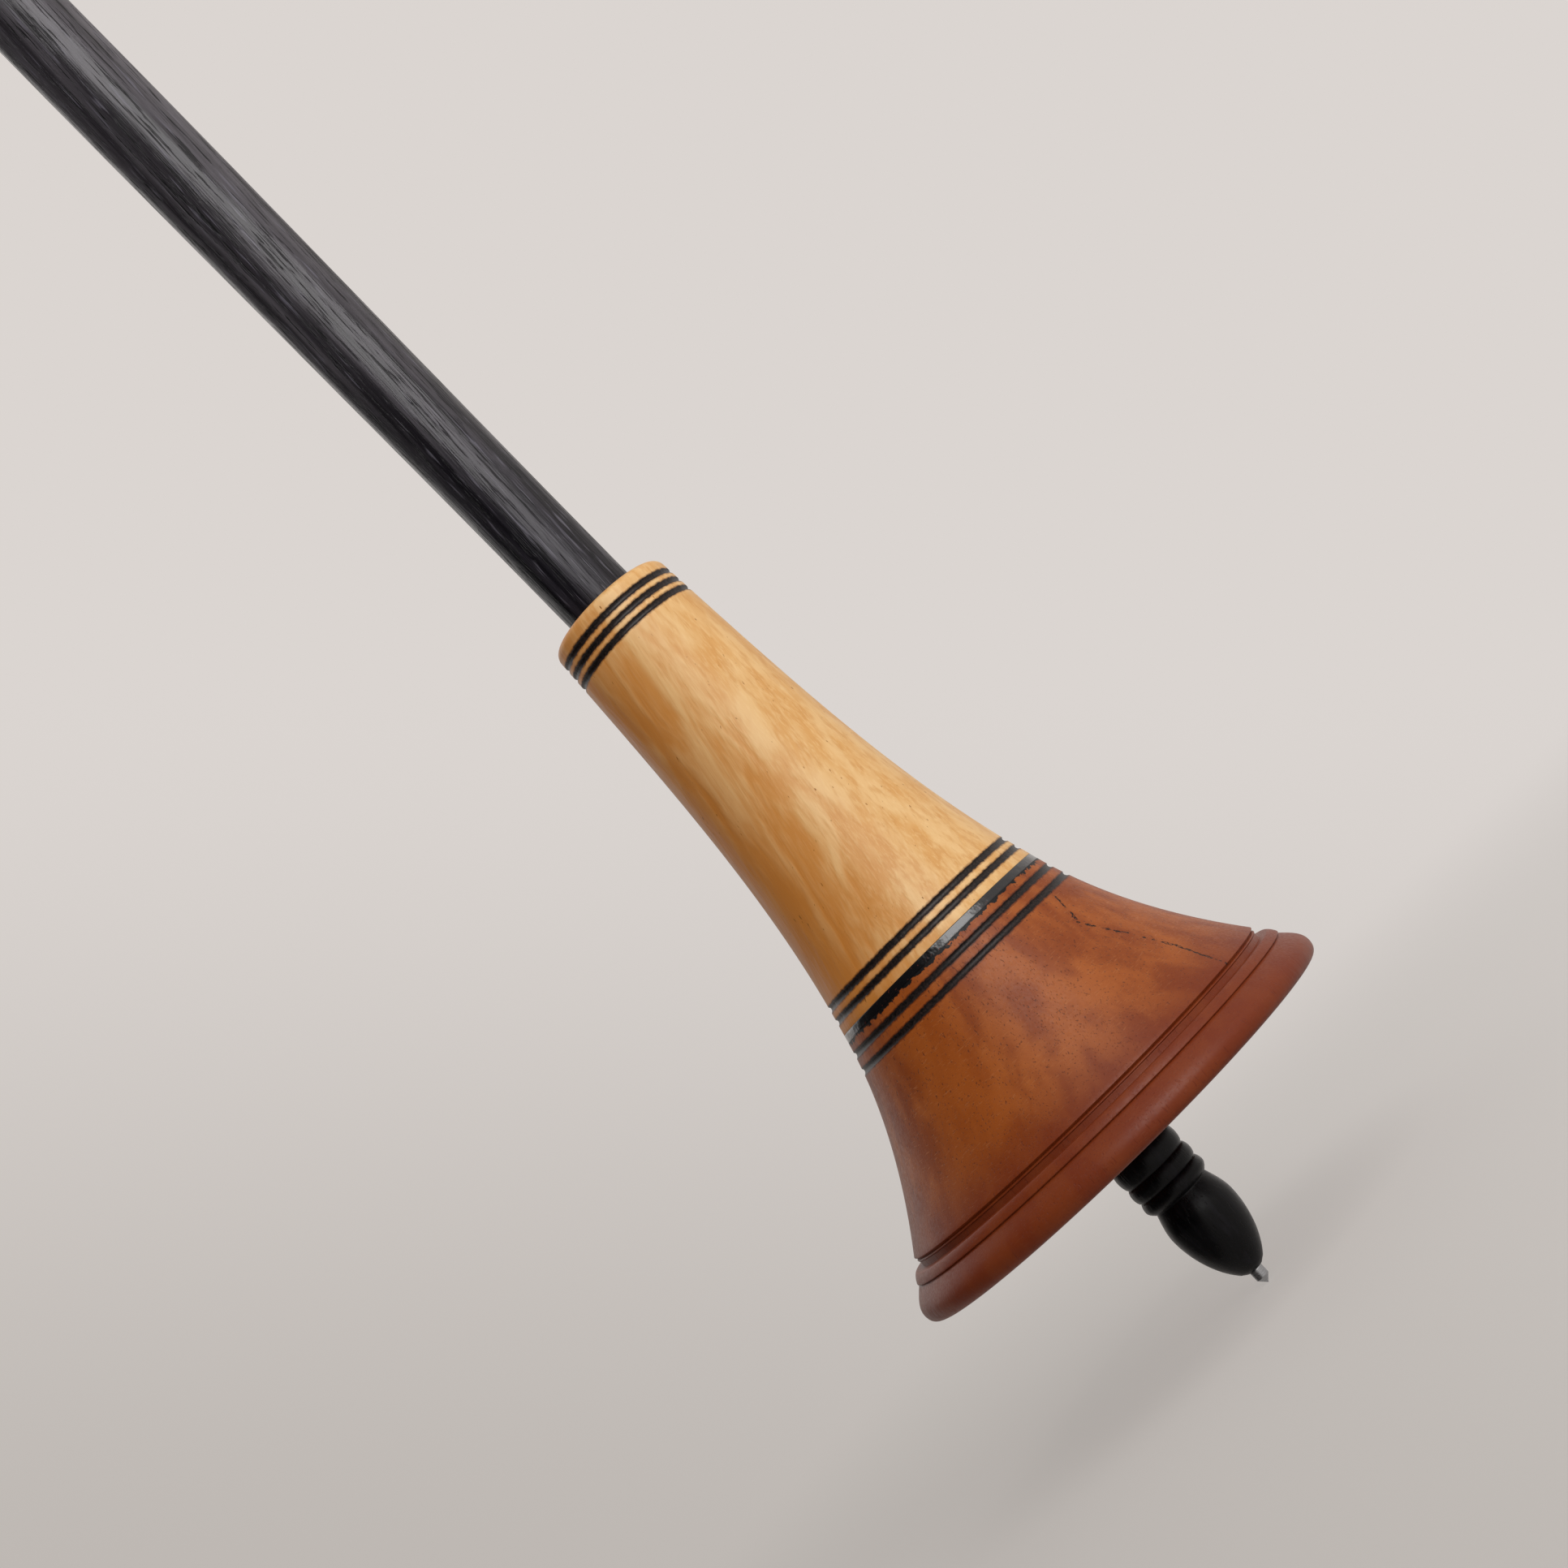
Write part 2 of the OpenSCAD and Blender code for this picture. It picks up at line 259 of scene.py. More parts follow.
def scrape_by_hand(piece, depth, patch, stretch):
    """Leaves the long shallow flats of a scraper, up to depth deep, patch wide and stretch times as long."""
    flats = bpy.data.textures.new("scraped flats", "CLOUDS")
    flats.noise_scale = patch * MM
    flats.noise_depth = 1
    guide = bpy.data.objects.new("scraper guide", None)
    guide.scale = (1, 1, stretch)
    bpy.context.scene.collection.objects.link(guide)
    bpy.context.view_layer.update()
    scraper = piece.modifiers.new("Scraper", "DISPLACE")
    scraper.texture = flats
    scraper.texture_coords = "OBJECT"
    scraper.texture_coords_object = guide
    scraper.mid_level = 1
    scraper.strength = depth * MM
    bpy.context.view_layer.objects.active = piece
    bpy.ops.object.modifier_apply(modifier=scraper.name)
    bpy.data.objects.remove(guide)


def make_shaft():
    """The dark shaft: straight in the whorl, thickest above it, and slim at its rounded top."""
    belly = (BELLY_R, COLLAR_TOP + BELLY_RISE)
    slim_end = (SHAFT_TIP_R, SHAFT_TOP - SHAFT_TIP_R)
    inside = [(SHAFT_R, z) for z in steps_between(SHAFT_END, COLLAR_TOP, 4)]
    swell = [
        (SHAFT_R + (BELLY_R - SHAFT_R) * t * t * (3 - 2 * t), COLLAR_TOP + BELLY_RISE * t)
        for t in steps_between(0, 1, 1 / 82)[1:]
    ]
    slim = curve(
        belly,
        between(belly, slim_end, 0, 0.35),
        between(belly, slim_end, 0.65, 0.7),
        slim_end,
        110,
    )
    round_end = [
        (SHAFT_TIP_R * math.cos(a), slim_end[1] + SHAFT_TIP_R * math.sin(a))
        for a in steps_between(0, math.pi / 2, math.pi / 24)[1:-1]
    ]
    outline = [(0, SHAFT_END)] + inside + swell + slim + round_end + [(0, SHAFT_TOP)]
    return turned("bog_oak_shaft", outline, SHAFT_FACETS)


def make_neck():
    """The pale upper half of the whorl, bored for the shaft, with a spigot below its shoulder."""
    edge = COLLAR_TOP - COLLAR_ROUND
    edge_r = neck_radius(edge)
    rounding = [
        (edge_r - COLLAR_ROUND * (1 - math.sin(a)), edge + COLLAR_ROUND * math.cos(a))
        for a in steps_between(0, math.pi / 2, math.pi / 24)[:-1]
    ]
    outside = burnt_outline(neck_radius, edge, JOINT_TOP, COLLAR_LINES + NECK_LINES)
    bore = SHAFT_R + GLUE_GAP
    outline = [(bore, COLLAR_TOP)] + rounding + outside
    outline += [(SPIGOT_R, JOINT_TOP), (SPIGOT_R, SPIGOT_END), (bore, SPIGOT_END)]
    outline += [(bore, z) for z in steps_between(SPIGOT_END, COLLAR_TOP, 6)[1:-1]]
    return turned("boxwood_neck", outline, NECK_FACETS, closed=True)


def make_joint_band():
    """The thin black ring between the two woods."""
    bore = SPIGOT_R + GLUE_GAP
    outside = [(bell_radius(z), z) for z in steps_between(JOINT_TOP, BELL_TOP, 0.2)]
    outside[0] = (JOINT_R, JOINT_TOP)
    outline = [(bore, JOINT_TOP)] + outside + [(bore, BELL_TOP)]
    return turned("black_joint_band", outline, NECK_FACETS, closed=True)


def make_bell():
    """The red lower half of the whorl: flared, with a lip, a bead, a fillet and a fat rounded rim."""
    groove = LIP - LIP_GROOVE_HEIGHT
    bead = groove - BEAD_HEIGHT
    quirk = bead - QUIRK_HEIGHT
    fillet_foot = quirk - FILLET_HEIGHT
    bead_r = LIP_R - BEAD_SET_BACK
    fillet_top = (bead_r + FILLET_STEP, quirk)
    fillet_end = (bead_r + FILLET_STEP + FILLET_SLOPE, fillet_foot)
    rim_top = (fillet_end[0], fillet_foot - SCRIBE_HEIGHT)
    crest = (RIM_R, RIM_CREST)
    land = (RIM_R - UNDER_ROUND, UNDERSIDE)
    dish_edge = (land[0] - LAND_WIDTH, UNDERSIDE)
    foot_seat = (FOOT_SEAT_R, FOOT_SEAT)
    outline = burnt_outline(bell_radius, BELL_TOP, LIP, BELL_LINES)
    outline.append((LIP_R - LIP_GROOVE_DEPTH, groove))
    outline += [
        (bead_r - BEAD_HEIGHT / 2 * (1 - math.sin(math.pi * t)), groove - BEAD_HEIGHT * t)
        for t in steps_between(0, 1, 1 / 8)[1:-1]
    ]
    outline += [(bead_r - QUIRK_DEPTH, bead), (bead_r - QUIRK_DEPTH, quirk), fillet_top]
    outline += curve(
        fillet_top,
        between(fillet_top, fillet_end, 0.45, 0.25),
        between(fillet_top, fillet_end, 0.8, 0.65),
        fillet_end,
        8,
    )
    outline += [(fillet_end[0] - SCRIBE_DEPTH, fillet_foot - SCRIBE_HEIGHT / 2), rim_top]
    outline += curve(
        rim_top,
        between(rim_top, crest, 0.55, 0.36),
        between(rim_top, crest, 1, 0.63),
        crest,
        14,
    )
    outline += curve(crest, between(crest, land, 0, 0.63), between(crest, land, 0.34, 1), land, 12)
    outline.append(dish_edge)
    outline += curve(
        dish_edge,
        between(dish_edge, foot_seat, 0.2, 0.36),
        between(dish_edge, foot_seat, 0.55, 1),
        foot_seat,
        28,
    )
    tenon_bore = TENON_R + GLUE_GAP
    shaft_bore = SHAFT_R + GLUE_GAP
    recess_r = SPIGOT_R + GLUE_GAP
    recess = SPIGOT_END - END_GAP
    outline += [(tenon_bore, FOOT_SEAT), (tenon_bore, SHAFT_END)]
    outline += [(shaft_bore, SHAFT_END), (shaft_bore, recess)]
    outline += [(recess_r, recess), (recess_r, BELL_TOP)]
    return turned("fruitwood_bell", outline, BELL_FACETS, closed=True)


def foot_bead(top, height, end=1):
    """Points down one bead of the foot, from its top notch to share end of its height."""
    points = []
    for t in steps_between(0, end, end / 12)[:-1]:
        bulge = math.sin(math.pi * t) ** BEAD_FULLNESS
        points.append((FOOT_BEAD_R - NOTCH_DEPTH * (1 - bulge), top - height * t))
    return points


def make_foot():
    """The ebony foot: three beads, a waist and an acorn-shaped bulb, with a tenon above and a hole below."""
    lowest_bead = WAIST + FOOT_BEAD_HEIGHT
    middle_bead = lowest_bead + FOOT_BEAD_HEIGHT
    top_bead = middle_bead + TOP_BEAD_HEIGHT
    belly = (FOOT_BEAD_R, lowest_bead - FOOT_BEAD_HEIGHT / 2)
    waist = (WAIST_R, WAIST)
    bulb = (BULB_R, BULB)
    nose = (NOSE_R, NOSE)
    hole_r = SHANK_R + SHANK_GAP
    hole_top = SHANK_TOP + END_GAP
    outline = [(0, TENON_TOP), (TENON_R, TENON_TOP), (TENON_R, FOOT_SEAT), (FOOT_BEAD_R, FOOT_SEAT)]
    outline += [(FOOT_BEAD_R, z) for z in steps_between(FOOT_SEAT, top_bead + NOTCH_DEPTH, 0.5)[1:]]
    outline += foot_bead(top_bead, TOP_BEAD_HEIGHT)
    outline += foot_bead(middle_bead, FOOT_BEAD_HEIGHT)
    outline += foot_bead(lowest_bead, FOOT_BEAD_HEIGHT, 0.5)
    outline.append(belly)
    outline += curve(belly, between(belly, waist, 0, 0.4), between(belly, waist, 0.6, 0.76), waist, 12)
    outline += curve(waist, between(waist, bulb, 0.42, 0.3), between(waist, bulb, 1, 0.64), bulb, 16)
    outline += curve(bulb, between(bulb, nose, 0, 0.35), between(bulb, nose, 0.36, 0.75), nose, 32)
    outline += [(FOOT_END_R, FOOT_END), (hole_r, FOOT_END), (hole_r, hole_top), (0, hole_top)]
    return turned("ebony_foot", outline, FOOT_FACETS)


def make_steel_point():
    """The steel point: a short straight head, a cone that is slightly blunt at its tip, and a shank."""
    slope = POINT_R / CONE_HEIGHT
    outline = [
        (0, 0),
        (TIP_BLUNTING * 0.7, TIP_BLUNTING * 0.2),
        (TIP_BLUNTING * 1.2, TIP_BLUNTING * 1.2 / slope),
        (POINT_R, CONE_HEIGHT),
    ]
    outline += [(POINT_R, z) for z in steps_between(CONE_HEIGHT, FOOT_END, 0.2)[1:]]
    outline += [(SHANK_R, FOOT_END), (SHANK_R, SHANK_TOP), (0, SHANK_TOP)]
    return turned("steel_tip", outline, POINT_FACETS)


def shade(code):
    """A colour written as on a paint chart, such as "#8e4a2b", as the linear colour that a shader takes."""
    parts = [int(code[i:i + 2], 16) / 255 for i in (1, 3, 5)]
    linear = [p / 12.92 if p <= 0.04045 else ((p + 0.055) / 1.055) ** 2.4 for p in parts]
    return (*linear, 1)


class Finish:
    """One material. Its calls each add a node or two and hand back the node's output."""

    def __init__(self, name):
        self.material = bpy.data.materials.new(name)
        self.material.use_nodes = True
        self.tree = self.material.node_tree
        self.shader = self.tree.nodes["Principled BSDF"]
        metres = self.add("ShaderNodeTexCoord").outputs["Object"]
        scaled = self.add("ShaderNodeVectorMath", {0: metres, "Scale": 1 / MM}, operation="SCALE")
        self.place = scaled.outputs[0]
        apart = self.add("ShaderNodeSeparateXYZ", {0: self.place})
        self.x, self.y, self.z = apart.outputs
        across = self.math("MULTIPLY", self.y, -1)
        self.angle = self.math("DEGREES", self.math("ARCTAN2", self.x, across))

    def add(self, kind, inputs=(), **settings):
        node = self.tree.nodes.new(kind)
        for name, value in settings.items():
            setattr(node, name, value)
        for name, value in dict(inputs).items():
            self.feed(node.inputs[name], value)
        return node

    def feed(self, socket, value):
        if isinstance(value, bpy.types.NodeSocket):
            self.tree.links.new(value, socket)
        else:
            socket.default_value = value

    def math(self, operation, *values):
        return self.add("ShaderNodeMath", enumerate(values), operation=operation).outputs[0]

    def ramp(self, value, low, high, start=0, end=1):
        """start where value is below low, end where it is above high, and a smooth change between."""
        inputs = {0: value, 1: low, 2: high, 3: start, 4: end}
        return self.add("ShaderNodeMapRange", inputs, interpolation_type="SMOOTHSTEP").outputs[0]

    def window(self, value, low, high, edge):
        """1 where value lies from low to high, and 0 further than edge outside."""
        rise = self.ramp(value, low - edge, low + edge)
        fall = self.ramp(value, high - edge, high + edge, 1, 0)
        return self.math("MULTIPLY", rise, fall)

    def along(self, stretch, tilt=0, centre=(0, 0, 0), turn=0):
        """Coordinates drawn out lengthwise, with the grain leaning by tilt degrees towards +X."""
        inputs = {
            "Vector": self.place,
            "Location": centre,
            "Rotation": (0, math.radians(tilt), math.radians(turn)),
            "Scale": (1, 1, stretch),
        }
        return self.add("ShaderNodeMapping", inputs, vector_type="TEXTURE").outputs[0]

    def noise(self, where, scale, detail=2, roughness=0.5, distortion=0):
        inputs = {
            "Vector": where,
            "Scale": scale,
            "Detail": detail,
            "Roughness": roughness,
            "Distortion": distortion,
        }
        return self.add("ShaderNodeTexNoise", inputs).outputs["Fac"]

    def blend(self, amount, under, over, mode="MIX"):
        """Colour over laid on colour under, by this amount."""
        node = self.add("ShaderNodeMix", {0: amount, 6: under, 7: over}, data_type="RGBA", blend_type=mode)
        return node.outputs[2]

    def near(self, lines):
        """Distance in height from the nearest of these lines."""
        distances = [self.math("ABSOLUTE", self.math("SUBTRACT", self.z, line)) for line in lines]
        nearest = distances[0]
        for other in distances[1:]:
            nearest = self.math("MINIMUM", nearest, other)
        return nearest

    def total(self, *values):
        result = values[0]
        for value in values[1:]:
            result = self.math("ADD", result, value)
        return result

    def cover(self, colour, roughness, height=None):
        """Gives the surface its colour, its roughness and a relief whose height is in millimetres."""
        self.feed(self.shader.inputs["Base Color"], colour)
        self.feed(self.shader.inputs["Roughness"], roughness)
        if height is not None:
            relief = self.add("ShaderNodeBump", {"Strength": 1, "Distance": MM, "Height": height})
            self.feed(self.shader.inputs["Normal"], relief.outputs[0])
        return self.material

    def gloss(self, specular, coat=0, coat_roughness=0.2):
        """Strength of the mirror-like part, the same all over."""
        self.shader.inputs["Specular IOR Level"].default_value = specular
        self.shader.inputs["Coat Weight"].default_value = coat
        self.shader.inputs["Coat Roughness"].default_value = coat_roughness


def dark_oak():
    """Black bog oak: long open pores, paler streaks that are partly painted glints on pore edges, and a
    hand-rubbed wax sheen.
    """
    wood = Finish("dark oak")
    fibre = wood.along(28, tilt=2)
    bands = wood.noise(wood.along(40, tilt=2), 0.9, 3)
    pores = wood.noise(fibre, 4.2, 3, 0.6)
    pore = wood.ramp(pores, 0.56, 0.64)
    # Paler grey streaks along the grain: partly the wood's own streaks and partly painted glints on pore
    # edges
    streaks = wood.ramp(wood.noise(wood.along(22, tilt=3, centre=(7, 3, 0)), 3.4, 2), 0.58, 0.72)
    upwards = wood.ramp(wood.total(wood.z, wood.ramp(bands, 0.2, 0.8, -9, 9)), 92, 132)
    dark = wood.blend(upwards, shade("#100e13"), shade("#2a272b"))
    light = wood.blend(upwards, shade("#26232a"), shade("#4d494e"))
    colour = wood.blend(wood.ramp(bands, 0.35, 0.68), dark, light)
    # Lays on the pale streaks, which are partly painted glints
    colour = wood.blend(wood.math("MULTIPLY", streaks, 0.8), colour, shade("#5a5760"))
    colour = wood.blend(pore, colour, shade("#09080b"))
    roughness = wood.total(wood.ramp(bands, 0.3, 0.7, 0.26, 0.36), wood.ramp(pores, 0.5, 0.62, 0, 0.25))
    relief = wood.total(
        wood.ramp(pore, 0, 1, 0, -0.05),
        wood.ramp(wood.noise(wood.along(18), 0.34, 1), 0.2, 0.8, 0, 0.3),
        wood.ramp(wood.noise(fibre, 7, 2), 0.3, 0.7, 0, 0.012),
    )
    wood.gloss(0.35)
    return wood.cover(colour, roughness, relief)


def char(wood, colour, roughness, lines):
    """Burns these lines into a wood's colour and roughness, with a ragged black edge and a brown halo."""
    ragged = wood.ramp(wood.noise(wood.place, 2.2, 3, 0.6), 0.3, 0.7, -0.05, 0.05)
    reach = wood.math("ADD", wood.near(lines), ragged)
    halo = wood.ramp(reach, BURN_WIDTH / 2, BURN_WIDTH / 2 + 0.22, 0.75, 0)
    burnt = wood.ramp(reach, BURN_WIDTH / 2 - 0.04, BURN_WIDTH / 2 + 0.05, 1, 0)
    soot = wood.ramp(wood.noise(wood.place, 5, 2), 0.35, 0.7)
    black = wood.blend(soot, shade("#0d0807"), shade("#2a1f1c"))
    colour = wood.blend(halo, colour, shade("#5b3216"), "MULTIPLY")
    colour = wood.blend(burnt, colour, black)
    roughness = wood.add("ShaderNodeMix", {0: burnt, 2: roughness, 3: 0.42}).outputs[0]
    return colour, roughness


def pale_boxwood():
    """Honey-coloured boxwood: fine leaning grain, silky mottling and an amber -X side, partly painted shade.
    """
    wood = Finish("pale boxwood")
    tilt = 10
    fibre = wood.along(16, tilt=tilt)
    fine = wood.noise(fibre, 5, 3, 0.6)
    mottle = wood.noise(wood.along(4, tilt=tilt), 0.5, 3, 0.55, 0.3)
    rings = wood.noise(wood.along(30, tilt=tilt + 2), 1.5, 2)
    # Amber on the -X side, away from the window lamp: partly the wood's own tone and partly painted shade
    amber_tone_and_shade = wood.ramp(wood.total(wood.x, wood.ramp(mottle, 0.2, 0.8, -2.5, 2.5)), -9, 4, 1, 0)
    colour = wood.blend(wood.ramp(mottle, 0.35, 0.65), shade("#cf9a5a"), shade("#dcb27a"))
    colour = wood.blend(wood.ramp(rings, 0.5, 0.66, 0, 0.5), colour, shade("#c48a48"))
    colour = wood.blend(wood.ramp(fine, 0.45, 0.7, 0, 0.4), colour, shade("#e2bf8a"))
    colour = wood.blend(amber_tone_and_shade, colour, shade("#bd7730"))
    flecks = wood.ramp(wood.noise(wood.along(3, tilt=tilt), 3.3, 1), 0.74, 0.8)
    colour = wood.blend(flecks, colour, shade("#8f5a20"))
    roughness = wood.ramp(fine, 0.3, 0.7, 0.36, 0.46)
    colour, roughness = char(wood, colour, roughness, COLLAR_LINES + NECK_LINES)
    relief = wood.total(
        wood.ramp(fine, 0.3, 0.7, 0, 0.006),
        wood.ramp(mottle, 0.3, 0.7, 0, 0.05),
    )
    wood.gloss(0.28)
    return wood.cover(colour, roughness, relief)


def black_resin():
    """Glossy black filler with a few specks of red dust in it."""
    filler = Finish("black resin")
    specks = filler.ramp(filler.noise(filler.place, 4, 1), 0.68, 0.74)
    colour = filler.blend(specks, shade("#0b0a0c"), shade("#4a2018"))
    relief = filler.ramp(filler.noise(filler.place, 1.1, 2), 0.3, 0.7, 0, 0.03)
    filler.gloss(0.6, coat=0.4, coat_roughness=0.15)
    return filler.cover(colour, 0.24, relief)


def line_distance(wood, start, end, radius):
    """Distance on the surface from a straight line between two places, each an angle and a height."""
    arc = math.radians(1) * radius
    ax, az = start[0] * arc, start[1]
    dx, dz = end[0] * arc - ax, end[1] - az
    x = wood.math("SUBTRACT", wood.math("MULTIPLY", wood.angle, arc), ax)
    z = wood.math("SUBTRACT", wood.z, az)
    dot = wood.total(wood.math("MULTIPLY", x, dx), wood.math("MULTIPLY", z, dz))
    share = wood.add("ShaderNodeClamp", {0: wood.math("DIVIDE", dot, dx * dx + dz * dz)}).outputs[0]
    off_x = wood.math("SUBTRACT", x, wood.math("MULTIPLY", share, dx))
    off_z = wood.math("SUBTRACT", z, wood.math("MULTIPLY", share, dz))
    return wood.math("SQRT", wood.total(wood.math("POWER", off_x, 2), wood.math("POWER", off_z, 2)))


# The hairline crack in the bell: angle from the front in degrees, and height
CRACK = [(52.8, 39.6), (47.3, 37.0), (44.3, 35.9), (50.3, 32.0), (52.4, 28.4), (50.8, 24.3)]
CRACK_WIDTH = 0.09


def red_fruitwood():
    """Red-brown pearwood: short fine pores, pale cross flecks, an amber stripe, a crack and a darker colour
    towards the rim.
    """
    wood = Finish("red fruitwood")
    tilt = 4
    fibre = wood.along(12, tilt=tilt)
    bands = wood.noise(wood.along(14, tilt=tilt), 0.35, 3, 0.5, 0.2)
    fine = wood.noise(fibre, 5.5, 2, 0.6)
    pore = wood.ramp(wood.noise(wood.along(9, tilt=tilt), 7, 1), 0.63, 0.72)
    flat = wood.add("ShaderNodeMapping", {0: wood.place, "Scale": (0.7, 0.7, 5)}).outputs[0]
    flecks = wood.ramp(wood.noise(flat, 1.7, 3, 0.65), 0.56, 0.74)
    colour = wood.blend(wood.ramp(bands, 0.35, 0.65), shade("#7e3a12"), shade("#98501f"))
    stripe = wood.math("MULTIPLY", wood.window(wood.angle, -42, -16, 7), wood.ramp(wood.z, 22, 28))
    colour = wood.blend(wood.math("MULTIPLY", stripe, 0.6), colour, shade("#8f450c"))
    colour = wood.blend(wood.math("MULTIPLY", flecks, 0.3), colour, shade("#b57648"))
    colour = wood.blend(wood.math("MULTIPLY", pore, 0.6), colour, shade("#3a180e"))
    # Darker towards the rim
    low = wood.ramp(wood.z, 23, 30, 1, 0)
    colour = wood.blend(wood.math("MULTIPLY", low, 0.8), colour, shade("#66240c"))
    roughness = wood.ramp(fine, 0.3, 0.7, 0.36, 0.5)
    bleed = wood.ramp(wood.noise(wood.place, 1.3, 3, 0.6), 0.3, 0.75, 0.02, 0.5)
    ink = wood.ramp(wood.total(wood.z, bleed), BELL_TOP - 0.04, BELL_TOP + 0.04)
    colour, roughness = char(wood, colour, roughness, BELL_LINES)
    colour = wood.blend(ink, colour, shade("#0d0b0c"))
    crack = line_distance(wood, CRACK[0], CRACK[1], bell_radius(38))
    for start, end in zip(CRACK[1:], CRACK[2:]):
        middle = (start[1] + end[1]) / 2
        crack = wood.math("MINIMUM", crack, line_distance(wood, start, end, bell_radius(middle)))
    jagged = wood.ramp(wood.noise(wood.place, 1.6, 3, 0.7), 0.3, 0.7, -0.16, 0.16)
    crack = wood.math("ABSOLUTE", wood.total(crack, jagged))
    crack = wood.ramp(crack, CRACK_WIDTH * 0.4, CRACK_WIDTH, 1, 0)
    colour = wood.blend(crack, colour, shade("#1c0d08"))
    relief = wood.total(
        wood.ramp(pore, 0, 1, 0, -0.012),
        wood.ramp(flecks, 0, 1, 0, 0.006),
        wood.ramp(crack, 0, 1, 0, -0.05),
    )
    wood.gloss(0.22)
    return wood.cover(colour, roughness, relief)


def ebony():
    """Ebony: nearly black, with faint brown streaks and a soft polish."""
    wood = Finish("ebony")
    streaks = wood.noise(wood.along(12), 1.6, 3)
    pore = wood.ramp(wood.noise(wood.along(10), 6, 2), 0.6, 0.7)
    colour = wood.blend(wood.ramp(streaks, 0.5, 0.75), shade("#050507"), shade("#131217"))
    colour = wood.blend(pore, colour, shade("#040405"))
    roughness = wood.ramp(streaks, 0.3, 0.7, 0.26, 0.4)
    wood.gloss(0.18)
    return wood.cover(colour, roughness, wood.ramp(pore, 0, 1, 0, -0.015))


def steel():
    """Turned steel with fine tool rings."""
    metal = Finish("steel")
    flat = metal.add("ShaderNodeMapping", {0: metal.place, "Scale": (0.3, 0.3, 12)}).outputs[0]
    rings = metal.noise(flat, 1.5, 2)
    metal.shader.inputs["Metallic"].default_value = 1
    colour = metal.blend(rings, shade("#8d8f92"), shade("#c3c4c6"))
    return metal.cover(colour, metal.ramp(rings, 0.3, 0.7, 0.24, 0.4), metal.ramp(rings, 0, 1, 0, 0.006))


# What the camera sees behind the spindle: pale above and to the right, a little darker below
BACKDROP_LIGHT = shade("#dbd5d1")
BACKDROP_DARK = shade("#bdb7b2")
# Direction in which the backdrop darkens: the bottom of the photograph, in the spindle's own frame
BACKDROP_DOWN = (-0.70, 0.08, -0.71)
# Cosines of the angle to that direction at which the darkening begins and ends
BACKDROP_EDGES = (-0.06, 0.34)
# Strength of the even light from all round
WORLD_LIGHT = 0.26
# The unlit side of the room, to the left of the camera, which polished wood mirrors as dark
DARK_SIDE = (-0.89, -0.36, 0.28)
# Cosines of the angle to it at which the darkness begins and is full, and how bright it is there
DARK_EDGES = (0.42, 0.56)
DARK_LEVEL = 0.04
# Radius of the floor in metres
FLOOR_SIZE = 1.5
FLOOR_PAINT = shade("#c9c4bf")
# Share of the floor's own shading that shows near the tip, and the distances over which it fades, in metres
FLOOR_SHADOW = 0.3
FLOOR_FADE = (0.05, 0.22)


def backdrop_colour(tree, direction):
    """Adds nodes for the backdrop's colour in a direction, and returns their output."""
    dot = tree.nodes.new("ShaderNodeVectorMath")
    dot.operation = "DOT_PRODUCT"
    tree.links.new(direction, dot.inputs[0])
    dot.inputs[1].default_value = BACKDROP_DOWN
    share = tree.nodes.new("ShaderNodeMapRange")
    share.interpolation_type = "SMOOTHSTEP"
    share.inputs[1].default_value, share.inputs[2].default_value = BACKDROP_EDGES
    tree.links.new(dot.outputs["Value"], share.inputs[0])
    mix = tree.nodes.new("ShaderNodeMix")
    mix.data_type = "RGBA"
    tree.links.new(share.outputs[0], mix.inputs[0])
    mix.inputs[6].default_value = BACKDROP_LIGHT
    mix.inputs[7].default_value = BACKDROP_DARK
    return mix.outputs[2]


def seen_directly(tree):
    """1 for what the camera sees, also through a reflection, and 0 for the light that falls on things."""
    path = tree.nodes.new("ShaderNodeLightPath")
    total = path.outputs["Is Camera Ray"]
    for name in ("Is Glossy Ray", "Is Transmission Ray"):
        either = tree.nodes.new("ShaderNodeMath")
        either.operation = "MAXIMUM"
        tree.links.new(total, either.inputs[0])
        tree.links.new(path.outputs[name], either.inputs[1])
        total = either.outputs[0]
    return total


def mirrored_level(tree, direction):
    """Brightness of the backdrop: 1 for the camera, and low in a mirrored view of the room's dark side."""
    dot = tree.nodes.new("ShaderNodeVectorMath")
    dot.operation = "DOT_PRODUCT"
    tree.links.new(direction, dot.inputs[0])
    dot.inputs[1].default_value = DARK_SIDE
    dark = tree.nodes.new("ShaderNodeMapRange")
    dark.interpolation_type = "SMOOTHSTEP"
    for index, value in enumerate((*DARK_EDGES, 0, 1 - DARK_LEVEL)):
        dark.inputs[index + 1].default_value = value
    tree.links.new(dot.outputs["Value"], dark.inputs[0])
    mirrored = tree.nodes.new("ShaderNodeMath")
    mirrored.operation = "MULTIPLY"
    tree.links.new(dark.outputs[0], mirrored.inputs[0])
    tree.links.new(tree.nodes.new("ShaderNodeLightPath").outputs["Is Glossy Ray"], mirrored.inputs[1])
    level = tree.nodes.new("ShaderNodeMath")
    level.operation = "SUBTRACT"
    level.inputs[0].default_value = 1
    tree.links.new(mirrored.outputs[0], level.inputs[1])
    return level.outputs[0]


